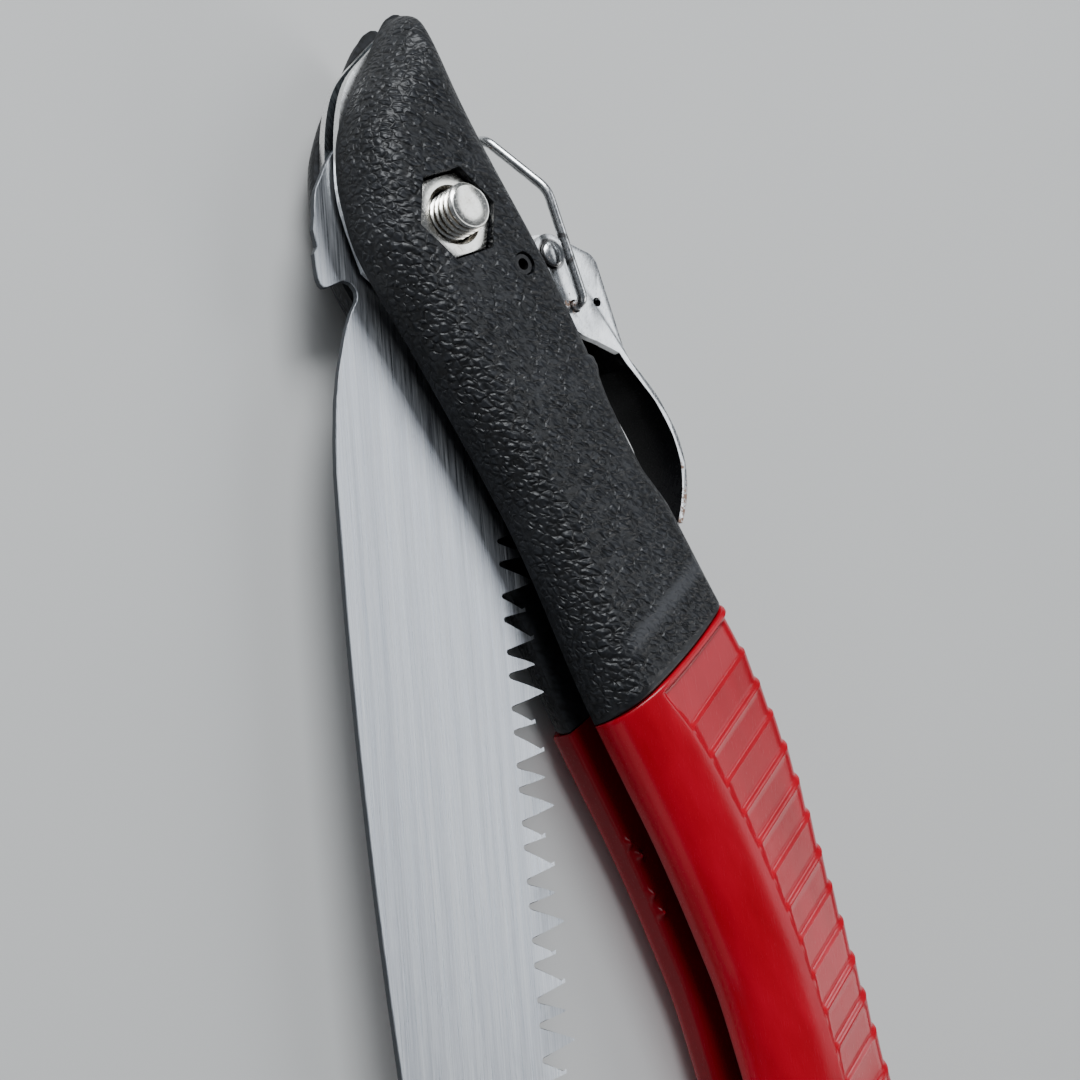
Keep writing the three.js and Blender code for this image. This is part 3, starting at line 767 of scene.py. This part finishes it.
class Look:
    """A node material whose Principled shader takes its plain values straight on its sockets."""

    def __init__(self, name, **sockets):
        self.material = bpy.data.materials.new(name)
        self.material.use_nodes = True
        self.tree = self.material.node_tree
        self.shader = self.tree.nodes["Principled BSDF"]
        position = self.node("ShaderNodeTexCoord").outputs
        self.coordinates = position["Object"]
        self.faces = position["Normal"]
        for socket, value in sockets.items():
            self.shader.inputs[socket.replace("_", " ")].default_value = value

    @cached_property
    def place(self):
        """Object coordinates in metres, apart as X, Y and Z."""
        return self.node("ShaderNodeSeparateXYZ", {"Vector": self.coordinates}).outputs

    @cached_property
    def facing(self):
        """The way a face points, apart as X, Y and Z."""
        return self.node("ShaderNodeSeparateXYZ", {"Vector": self.faces}).outputs

    @cached_property
    def from_middle(self):
        """Distance from the blade's middle plane in metres."""
        return self.absolute(self.minus(self.place["Z"], MIDDLE * MM))

    def node(self, kind, inputs=None, **settings):
        """A new node with its settings; an input takes a value or another node's output."""
        made = self.tree.nodes.new(kind)
        for key, value in settings.items():
            setattr(made, key, value)
        for key, value in (inputs or {}).items():
            if isinstance(value, bpy.types.NodeSocket):
                self.tree.links.new(value, made.inputs[key])
            else:
                made.inputs[key].default_value = value
        return made

    def placed(self, scale, turn=0.0, shift=(0, 0, 0)):
        """Object coordinates in units of millimetres times scale, turned about Z."""
        size = [value / MM for value in scale]
        turned_by = self.node("ShaderNodeMapping", {"Vector": self.coordinates, "Rotation": (0, 0, turn)})
        inputs = {"Vector": turned_by.outputs[0], "Scale": size, "Location": shift}
        return self.node("ShaderNodeMapping", inputs).outputs[0]

    def noise(self, scale, detail=3.0, rough=0.55, turn=0.0, distortion=0.0):
        inputs = {"Vector": self.placed(scale, turn), "Scale": 1.0, "Detail": detail, "Roughness": rough,
                  "Distortion": distortion}
        return self.node("ShaderNodeTexNoise", inputs).outputs["Fac"]

    def ramp(self, value, stops):
        made = self.node("ShaderNodeValToRGB", {"Fac": value})
        elements = made.color_ramp.elements
        while len(elements) < len(stops):
            elements.new(0.5)
        for element, (position, colour) in zip(elements, stops):
            element.position = position
            element.color = (*colour, 1) if len(colour) == 3 else colour
        return made.outputs["Color"]

    def range(self, value, low, high, to_low, to_high):
        inputs = {"Value": value, "From Min": low, "From Max": high, "To Min": to_low, "To Max": to_high}
        return self.node("ShaderNodeMapRange", inputs).outputs["Result"]

    def smooth_range(self, value, low, high, to_low, to_high):
        result = self.range(value, low, high, to_low, to_high)
        result.node.interpolation_type = "SMOOTHSTEP"
        return result

    def math(self, operation, *values):
        return self.node("ShaderNodeMath", dict(enumerate(values)), operation=operation).outputs[0]

    def absolute(self, value):
        return self.math("ABSOLUTE", value)

    def plus(self, first, second):
        return self.math("ADD", first, second)

    def minus(self, first, second):
        return self.math("SUBTRACT", first, second)

    def times(self, first, *others):
        for other in others:
            first = self.math("MULTIPLY", first, other)
        return first

    def larger(self, first, *others):
        for other in others:
            first = self.math("MAXIMUM", first, other)
        return first

    def below(self, value, limit):
        """1 where the value is below the limit, and 0 elsewhere."""
        return self.math("LESS_THAN", value, limit)

    def above(self, value, limit):
        """1 where the value is above the limit, and 0 elsewhere."""
        return self.math("GREATER_THAN", value, limit)

    def near(self, value, target, within):
        """1 where the value is close enough to the target, and 0 elsewhere."""
        return self.math("COMPARE", value, target, within)

    def distance(self, vector, point):
        return self.node("ShaderNodeVectorMath", {0: vector, 1: point}, operation="DISTANCE").outputs["Value"]

    def blend(self, kind, share, first, second):
        inputs = {"Fac": share, "Color1": first, "Color2": second}
        return self.node("ShaderNodeMixRGB", inputs, blend_type=kind).outputs[0]

    def mix(self, share, first, second):
        return self.node("ShaderNodeMix", {0: share, 6: first, 7: second}, data_type="RGBA").outputs[2]

    def bump(self, height, distance, strength=1.0):
        inputs = {"Height": height, "Distance": distance * MM, "Strength": strength}
        normal = self.node("ShaderNodeBump", inputs)
        if self.shader.inputs["Normal"].is_linked:
            self.tree.links.new(self.shader.inputs["Normal"].links[0].from_socket, normal.inputs["Normal"])
        self.tree.links.new(normal.outputs["Normal"], self.shader.inputs["Normal"])

    def link(self, socket, value):
        self.tree.links.new(value, self.shader.inputs[socket])


def grained_black():
    """Moulded leather grain of longish pebbles, left smooth at the slot and along the seam; its valleys are
    painted darker as shade.
    """
    look = Look("grained_black_plastic", Specular_IOR_Level=0.4)
    x, y = look.place["X"], look.place["Y"]
    grain_turn = math.radians(-56)
    warp = look.node("ShaderNodeTexNoise", {
        "Vector": look.placed((0.75, 1.0, 1.0), grain_turn), "Detail": 0.0, "Scale": 1.0})
    warped = look.blend("ADD", 0.6, look.placed((0.5, 0.86, 0.84), grain_turn), warp.outputs["Color"])
    cells = look.node("ShaderNodeTexVoronoi", {"Vector": warped, "Scale": 1.0}, feature="DISTANCE_TO_EDGE")
    domes = look.smooth_range(cells.outputs["Distance"], 0.0, 0.32, 0.0, 1.0)
    uneven = look.range(look.noise((0.5, 0.7, 0.7), 1.0), 0.35, 0.65, 0.35, 1.0)
    lumps = look.range(look.noise((0.7, 1.2, 1.2), 0.0, 0.5, grain_turn), 0.3, 0.7, 0.0, 0.5)
    pebbles = look.plus(look.times(domes, uneven), lumps)
    fine = look.noise((3.5, 3.5, 3.5), 3.0)
    off_lip = look.range(look.from_middle, 3.5 * MM, 4.2 * MM, 0.0, 1.0)
    to_seam = look.minus(x, look.times(y, SEAM_LEAN))
    off_seam = look.range(to_seam, (SEAM_X - 0.6) * MM, (SEAM_X - 1.3) * MM, 0.0, 1.0)
    swage_line = look.plus(x, look.times(y, SWAGE_LEAN))
    off_swage = look.absolute(look.minus(swage_line, SWAGE_X * MM))
    on_swage = look.times(look.smooth_range(off_swage, 2.2 * MM, 0.4 * MM, 0.0, 1.0),
                          look.smooth_range(y, -11 * MM, -5 * MM, 0.0, 1.0))
    rubbed = look.minus(1.0, look.times(on_swage, 0.55))
    grained = look.times(off_lip, off_seam, rubbed)
    look.bump(look.times(look.plus(pebbles, look.times(fine, 0.06)), grained), 0.26)
    worn = look.range(look.noise((0.07, 0.1, 0.1), 2.0), 0.52, 0.68, 0.0, 1.0)
    worn = look.larger(look.times(worn, 0.3), look.times(on_swage, 0.9))
    # Painted shade: the pebbles' valleys are coloured near black and their tops a little lighter.
    pebble_colour_with_painted_shade = look.ramp(pebbles, [
        (0.0, (0.001, 0.001, 0.0015)), (0.4, (0.008, 0.0088, 0.0105)), (1.0, (0.014, 0.0155, 0.019))])
    look.link("Base Color", look.mix(worn, pebble_colour_with_painted_shade, (0.035, 0.037, 0.042, 1)))
    shine = look.range(fine, 0.3, 0.7, 0.38, 0.48)
    matt_lip = look.range(look.from_middle, 4 * MM, 6 * MM, 0.3, 0.0)
    look.link("Roughness", look.plus(shine, matt_lip))
    return look.material


def red_plastic():
    """Glossy moulded plastic with faint flow marks, fine scratches and a little dust; the slot's faces and
    the head side's faces beside it are darkened as painted shade.
    """
    look = Look("red_plastic", Specular_IOR_Level=0.33)
    z = look.place["Z"]
    flow = look.noise((0.05, 0.16, 0.16), 3.0)
    speck = look.noise((1.6, 1.6, 1.6), 4.0, 0.7)
    scratch = look.noise((0.25, 5.0, 5.0), 2.0, 0.6, 0.35)
    colour = look.ramp(flow, [
        (0.3, (0.36, 0.0, 0.009)), (0.55, (0.43, 0.0003, 0.013)), (0.8, (0.49, 0.001, 0.018))])
    dusty = look.range(speck, 0.70, 0.82, 0.0, 0.05)
    outside = look.mix(dusty, colour, (0.55, 0.2, 0.2, 1))
    # Painted shade: the slot's faces, 2.6 to 3.5 mm from the middle plane, are darkened.
    painted_slot_shade = look.times(look.range(look.from_middle, 3.15 * MM, 3.5 * MM, 0.5, 0.0),
                         look.range(look.from_middle, 2.6 * MM, 3.05 * MM, 0.0, 1.0))
    # Painted shade: head-side faces 2.5 to 9 mm below the middle plane are darkened and made less shiny.
    painted_far_side_shade = look.times(look.smooth_range(z, (MIDDLE - 9) * MM, (MIDDLE - 6) * MM, 0.0, 0.6),
                          look.below(z, (MIDDLE - 2.5) * MM))
    # Both masks are painted shade.
    deep = look.larger(painted_slot_shade, painted_far_side_shade)
    look.link("Base Color", look.mix(deep, outside, (0.06, 0.0, 0.002, 1)))
    look.link("Specular IOR Level", look.range(painted_far_side_shade, 0.0, 0.6, 0.33, 0.24))
    rough = look.range(scratch, 0.35, 0.75, 0.2, 0.3)
    look.link("Roughness", look.plus(rough, look.times(dusty, 0.8)))
    look.bump(flow, 0.12, 0.5)
    return look.material


def blade_steel():
    """Ground steel, brushed along the blade, with faint stains; its edges and ground tooth flanks are painted
    dark and not metallic as shade.
    """
    look = Look("blade_steel", Specular_IOR_Level=0.2)
    turn = -BLADE_ANGLE
    brushed = look.noise((0.07, 4.2, 4.2), 5.0, 0.7, turn)
    streaks = look.noise((0.012, 0.9, 0.9), 4.0, 0.6, turn)
    clouds = look.noise((0.03, 0.045, 0.05), 3.0, 0.5, turn, 0.4)
    pits = look.noise((2.4, 2.4, 2.4), 2.0, 0.5)
    colour = look.ramp(streaks, [
        (0.3, (0.52, 0.54, 0.57)), (0.5, (0.63, 0.65, 0.68)), (0.7, (0.71, 0.73, 0.75))])
    shade = look.ramp(brushed, [(0.38, (0.55, 0.57, 0.62)), (0.6, (1.0, 1.0, 1.0))])
    streaked = look.blend("MULTIPLY", 0.75, colour, shade)
    stain = look.range(clouds, 0.55, 0.8, 0.0, 0.25)
    stained = look.mix(stain, streaked, (0.53, 0.55, 0.59, 1))
    # Painted shade: faces that don't face the blade's sides are made dark and not metallic.
    painted_edge_shade = look.below(look.absolute(look.facing["Z"]), 0.5)
    look.link("Base Color", look.mix(painted_edge_shade, stained, (0.045, 0.05, 0.058, 1)))
    look.link("Metallic", look.minus(1.0, painted_edge_shade))
    rough = look.range(brushed, 0.35, 0.65, 0.24, 0.42)
    look.link("Roughness", look.plus(rough, look.times(pits, 0.04)))
    look.bump(brushed, 0.02, 0.7)
    look.bump(streaks, 0.02, 0.4)
    return look.material


def plate_steel():
    """Liner plates: bright cut edges with a fine file grain, and dark flat faces beside the blade."""
    look = Look("plate_steel", Metallic=1.0)
    grain = look.noise((0.4, 3.0, 6.0), 4.0, 0.6)
    colour = look.ramp(grain, [(0.3, (0.74, 0.74, 0.73)), (0.7, (0.93, 0.93, 0.92))])
    flat = look.above(look.absolute(look.facing["Z"]), 0.5)
    # Flat faces within 1.7 mm of the blade's middle plane are made dark.
    dark_beside_blade = look.times(flat, look.range(look.from_middle, 1.6 * MM, 1.7 * MM, 0.9, 0.0))
    look.link("Base Color", look.mix(dark_beside_blade, colour, (0.20, 0.225, 0.245, 1)))
    look.link("Roughness", look.range(grain, 0.3, 0.7, 0.22, 0.38))
    look.bump(grain, 0.02, 0.5)
    return look.material


def zinc_plate():
    """Zinc plating, slightly warm, with brown grime in patches; the thread's grooves and a ring in the bore
    round the bolt are darkened as painted shade.
    """
    look = Look("zinc_plate", Metallic=1.0)
    cloud = look.noise((0.35, 0.35, 0.35), 4.0, 0.6)
    fine = look.noise((2.5, 2.5, 2.5), 3.0, 0.6)
    plating = look.ramp(cloud, [(0.3, (0.66, 0.64, 0.58)), (0.6, (0.84, 0.83, 0.79))])
    x, y, z = (look.place[axis] for axis in "XYZ")
    from_pivot = look.math("SQRT", look.plus(look.math("POWER", x, 2.0), look.math("POWER", y, 2.0)))
    # Painted shade: the thread's grooves and the bore's ring round the bolt are darkened.
    painted_groove_shade = look.times(look.range(from_pivot, 3.8 * MM, 3.5 * MM, 0.0, 0.93),
                           look.below(z, (MIDDLE + 14.2) * MM))
    painted_bore_shade = look.times(look.range(from_pivot, 5.0 * MM, 4.7 * MM, 0.0, 0.6),
                         look.above(from_pivot, 4.1 * MM))
    patches = look.range(cloud, 0.36, 0.22, 0.0, 0.75)
    # Real brown patches joined with the painted shade.
    grime_and_painted_shade = look.larger(patches, look.larger(painted_groove_shade, painted_bore_shade))
    look.link("Base Color", look.mix(grime_and_painted_shade, plating, (0.10, 0.07, 0.045, 1)))
    look.link("Roughness", look.range(fine, 0.3, 0.7, 0.16, 0.3))
    look.bump(fine, 0.008, 0.5)
    return look.material


def bright_plate():
    """Plated sheet and wire with scratches and rust spots; the sheet's inner faces are black."""
    look = Look("bright_plate")
    scratches = look.noise((0.6, 7.0, 7.0), 3.0, 0.6, 0.6)
    cross = look.noise((6.0, 0.5, 5.0), 3.0, 0.6, -0.3)
    spots = look.noise((0.9, 0.9, 0.9), 4.0, 0.65)
    cloud = look.noise((0.22, 0.22, 0.22), 3.0, 0.6)
    x, y = look.place["X"], look.place["Y"]
    hole = (WIRE_HOLE[0] * MM, WIRE_HOLE[1] * MM, (MIDDLE + LEVER_HALF_WIDTH) * MM)
    to_leaf_end = look.range(x, 0.051, 0.057, 0.0, 0.2)
    at_hole = look.range(look.distance(look.coordinates, hole), 1.3 * MM, 2.6 * MM, 0.14, 0.0)
    rust = look.range(look.plus(spots, look.plus(to_leaf_end, at_hole)), 0.64, 0.72, 0.0, 0.85)
    in_flat = look.node("ShaderNodeCombineXYZ", {"X": x, "Y": y}).outputs[0]
    from_rivet = look.distance(in_flat, (RIVET[0] * MM, RIVET[1] * MM, 0))
    # A dark ring on the sheet round the rivet's head.
    seat = look.near(from_rivet, (RIVET_HEAD_RADIUS + 0.1) * MM, 0.35 * MM)
    inner = inner_faces(look)
    plated = look.ramp(cloud, [(0.3, (0.50, 0.51, 0.52)), (0.65, (0.78, 0.79, 0.80))])
    ringed_plate = look.mix(look.times(seat, 0.7), plated, (0.06, 0.05, 0.045, 1))
    rusted = look.mix(rust, ringed_plate, (0.20, 0.085, 0.03, 1))
    look.link("Base Color", look.mix(inner, rusted, (0.006, 0.006, 0.007, 1)))
    look.link("Metallic", look.minus(1.0, look.larger(look.times(rust, 0.9), inner)))
    look.link("Specular IOR Level", look.range(inner, 0.0, 1.0, 0.5, 0.15))
    marks = look.plus(look.times(scratches, 0.6), look.times(cross, 0.4))
    shine = look.range(marks, 0.35, 0.65, 0.14, 0.32)
    look.link("Roughness", look.plus(shine, look.times(rust, 0.5)))
    look.bump(marks, 0.015, 0.5)
    return look.material


def inner_faces(look):
    """1 on the lever's leaf and web where they face the handle, and on the insides of its cheeks."""
    x, y = look.place["X"], look.place["Y"]
    sideways = look.absolute(look.facing["Z"])
    downwards = look.below(look.facing["Y"], -0.25)
    not_end = look.below(look.facing["X"], 0.3)
    under = look.times(downwards, not_end, look.below(sideways, 0.4))
    on_leaf, on_web = look.above(x, 30.6 * MM), look.above(y, 25.2 * MM)
    painted = look.times(under, look.larger(on_leaf, on_web))
    cheek = look.near(look.from_middle, (LEVER_HALF_WIDTH - LEVER_SHEET) * MM, 0.1 * MM)
    inside = look.times(cheek, look.above(sideways, 0.9))
    channel_end = look.times(look.below(look.facing["X"], -0.3), look.above(x, 30 * MM))
    return look.larger(painted, inside, channel_end)


def speckled(look, fine, stops, rough, depth):
    """Colour, gloss and bump that follow one fine noise."""
    look.link("Base Color", look.ramp(fine, stops))
    look.link("Roughness", look.range(fine, 0.3, 0.7, *rough))
    look.bump(fine, depth, 0.5)
    return look.material


def black_steel():
    """Blackened steel."""
    look = Look("black_steel", Metallic=0.7)
    stops = [(0.4, (0.015, 0.015, 0.016)), (0.7, (0.05, 0.05, 0.052))]
    return speckled(look, look.noise((2.0, 2.0, 2.0)), stops, (0.3, 0.5), 0.03)


def inner_black():
    """Plain moulded plastic inside the slot."""
    look = Look("inner_black_plastic", Specular_IOR_Level=0.4)
    stops = [(0.3, (0.008, 0.008, 0.009)), (0.7, (0.02, 0.02, 0.022))]
    return speckled(look, look.noise((1.2, 1.2, 1.2), 4.0), stops, (0.4, 0.6), 0.05)


def paper_floor():
    look = Look("pale_floor", Roughness=0.8)
    stops = [(0.3, (0.58, 0.58, 0.57)), (0.7, (0.60, 0.60, 0.59))]
    look.link("Base Color", look.ramp(look.noise((0.01, 0.01, 0.01), 2.0), stops))
    return look.material


LOOKS = {
    "blade_steel": blade_steel(),
    "plate_steel": plate_steel(),
    "zinc_plate": zinc_plate(),
    "bright_plate": bright_plate(),
    "grained_black_plastic": grained_black(),
    "red_plastic": red_plastic(),
    "inner_black_plastic": inner_black(),
    "black_steel": black_steel(),
}


def finish_piece(piece, body, slot, *nodes):
    piece.data.materials.clear()
    piece.data.materials.append(LOOKS[slot])
    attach(piece, body)
    if nodes:
        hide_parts(*nodes)


def dress_cad_nodes():
    for entry in frame["record"]["subparts"]:
        node = frame["nodes"][entry["node"]]
        node.data.materials.clear()
        node.data.materials.append(LOOKS[entry["material_slot"]])


# ======== Stage ========

CAMERA_PLACE = (21.55, -255.23, 292.89)
CAMERA_RIGHT = (0.44239, 0.65818, 0.60917)
CAMERA_UP = (-0.89323, 0.38410, 0.23368)
CAMERA_LENS = 79.75
FLOOR_WIDTH = 6.0
FLOOR_HEIGHT = -0.0006
LIGHT_AIM = (0.06, -0.01, 0.01)
LIGHTS = [
    ("nose_side", (-0.68, 0.08, 0.76), (0.6, 0.45), 14, (0.94, 0.97, 1.0)),
    ("overhead", (0.12, 0.68, 0.80), (0.75, 0.4), 2.4, (0.92, 0.96, 1.0)),
    ("back", (0.70, 0.60, 0.45), (0.5, 0.4), 2.4, (1.0, 0.99, 0.97)),
    ("shoulder", (-0.52, -0.30, 0.75), (0.6, 0.5), 0.6, (0.95, 0.98, 1.0)),
    ("low", (0.45, -0.75, 0.3), (0.5, 0.4), 0.5, (1.0, 1.0, 1.0)),
]


def add_camera():
    data = bpy.data.cameras.new("camera")
    data.lens = CAMERA_LENS
    data.sensor_width = 36
    camera = bpy.data.objects.new("camera", data)
    right, up = Vector(CAMERA_RIGHT).normalized(), Vector(CAMERA_UP).normalized()
    axes = Matrix((right, up, right.cross(up))).transposed().to_4x4()
    x, y, z = CAMERA_PLACE
    axes.translation = (x * MM, y * MM, (z + MIDDLE) * MM)
    camera.matrix_world = axes
    bpy.context.scene.collection.objects.link(camera)
    bpy.context.scene.camera = camera


def add_light(name, place, size, power, colour):
    data = bpy.data.lights.new(name, "AREA")
    data.shape = "RECTANGLE"
    data.size, data.size_y = size
    data.energy = power
    data.color = colour
    light = bpy.data.objects.new(name, data)
    light.location = place
    light.rotation_euler = (Vector(LIGHT_AIM) - Vector(place)).to_track_quat("-Z", "Y").to_euler()
    bpy.context.scene.collection.objects.link(light)


def add_stage():
    corners = [(x, y, 0) for x, y in rectangle((0, 0), FLOOR_WIDTH, FLOOR_WIDTH)]
    mesh = bpy.data.meshes.new("floor")
    mesh.from_pydata(corners, [], [(0, 1, 2, 3)])
    mesh.materials.append(paper_floor())
    floor = bpy.data.objects.new("floor", mesh)
    floor.location.z = FLOOR_HEIGHT
    bpy.context.scene.collection.objects.link(floor)
    world = bpy.data.worlds.new("studio")
    world.use_nodes = True
    sky = world.node_tree.nodes["Background"].inputs
    sky["Color"].default_value = (0.80, 0.86, 0.95, 1)
    sky["Strength"].default_value = 0.14
    bpy.context.scene.world = world
    for light in LIGHTS:
        add_light(*light)


# ======== Assembly ========

dress_cad_nodes()
add_camera()
add_stage()

finish_piece(saw_blade(), "blade", "blade_steel", "saw_blade")
finish_piece(front_cover(1, "nut_side_cover_grained"), "handle", "grained_black_plastic", "nut_side_cover")
finish_piece(front_cover(-1, "head_side_cover_grained"), "handle", "grained_black_plastic", "head_side_cover")
finish_piece(grip_half(1, "nut_side_grip_ribbed"), "handle", "red_plastic", "nut_side_grip")
finish_piece(grip_half(-1, "head_side_grip_ribbed"), "handle", "red_plastic", "head_side_grip")
finish_piece(pivot_nut(), "handle", "zinc_plate", "pivot_nut")
finish_piece(bolt_shank(), "handle", "zinc_plate", "pivot_bolt")
finish_piece(bolt_head(), "handle", "zinc_plate")
finish_piece(lever_rivet(), "handle", "bright_plate", "lever_rivet")
finish_piece(lock_lever(), "lever", "bright_plate", "lock_lever")
finish_piece(wire_bail(), "bail", "bright_plate", "wire_bail")
for screw_node in SCREW_NODES:
    finish_piece(sunk_screw(screw_node), "handle", "zinc_plate", screw_node)
